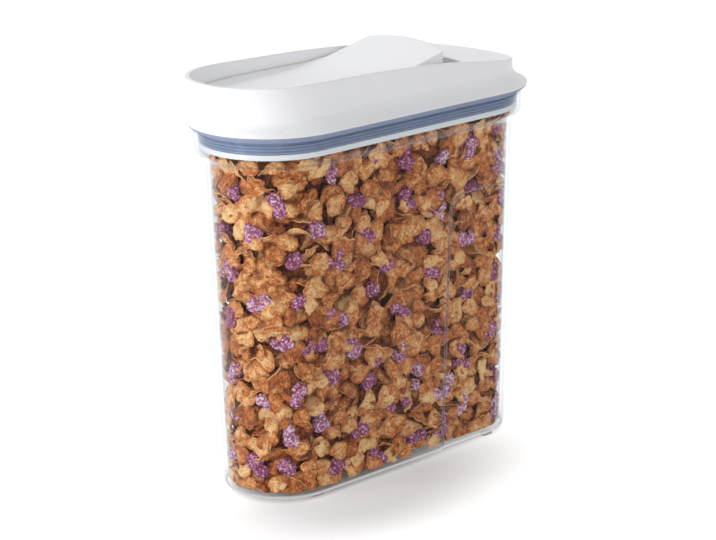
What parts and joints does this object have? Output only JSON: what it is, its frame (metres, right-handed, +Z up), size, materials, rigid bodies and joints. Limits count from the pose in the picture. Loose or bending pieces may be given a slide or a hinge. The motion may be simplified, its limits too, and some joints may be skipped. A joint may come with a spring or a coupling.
{
  "type": "cereal container with flip spout",
  "caption": "Upright dry-food container, narrow rounded-end plan, clear tapered body and white lid with a flared spout rim and a hinged flap raised by its thumb hump",
  "frame": {"origin": "on the standing surface, at the centre of the container's outer box in plan", "axes": "+Z up, the body's long plan axis along X with the pouring spout at -X and the deck at +X, width along Y"},
  "size_m": [0.2194, 0.0926, 0.2349],
  "materials": {
    "clear_plastic": "clear injection-moulded plastic, polished",
    "white_plastic": "white moulded plastic, satin gloss",
    "flap_plastic": "white moulded plastic, satin gloss",
    "silicone": "blue-grey silicone, matt",
    "steel_pin": "ground stainless steel"
  },
  "bodies": {
    "container": {"container_body": "clear_plastic"},
    "lid": {"lid_shell": "white_plastic", "lid_base": "white_plastic", "body_gasket": "silicone", "hinge_pin": "steel_pin"},
    "flap": {"flap_cover": "flap_plastic", "flap_liner": "flap_plastic", "flap_gasket": "silicone"}
  },
  "joints": [
    {"name": "lid_lift", "type": "slide", "parent": "container", "child": "lid", "axis": [0, 0, 1], "range_m": [0, 0.05]},
    {"name": "flap_hinge", "type": "hinge", "parent": "lid", "child": "flap", "pos_m": [0.027, 0, 0.222], "axis": [0, 1, 0], "range_deg": [0, 105]}
  ]
}
